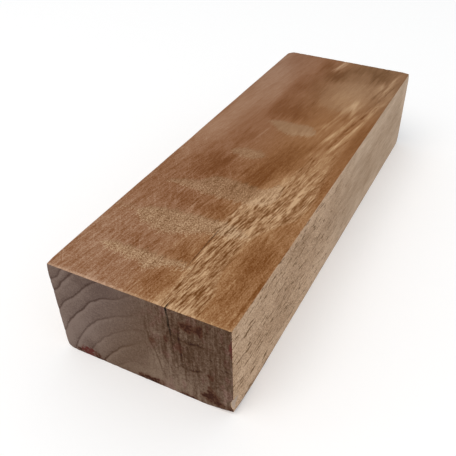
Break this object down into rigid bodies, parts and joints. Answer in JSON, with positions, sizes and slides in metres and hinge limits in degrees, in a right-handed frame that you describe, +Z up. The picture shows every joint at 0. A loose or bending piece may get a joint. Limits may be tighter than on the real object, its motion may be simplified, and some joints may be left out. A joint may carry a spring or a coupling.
{
  "type": "stabilized beech handle blank",
  "caption": "Rectangular block of resin-stabilized beech, grain along its length, sanded flat on all faces, with a short drying check at one end; raw stock for a knife or tool handle.",
  "frame": {"origin": "centre of the bottom face, on which the block lies", "axes": "+Y along the grain and the length, away from the end with the drying check; +X across the width; +Z up through the thickness"},
  "size_m": [0.042, 0.125, 0.025],
  "materials": {
    "stabilized_beech": "sanded, satin"
  },
  "bodies": {
    "root": {"handle_blank": "stabilized_beech"}
  },
  "joints": []
}
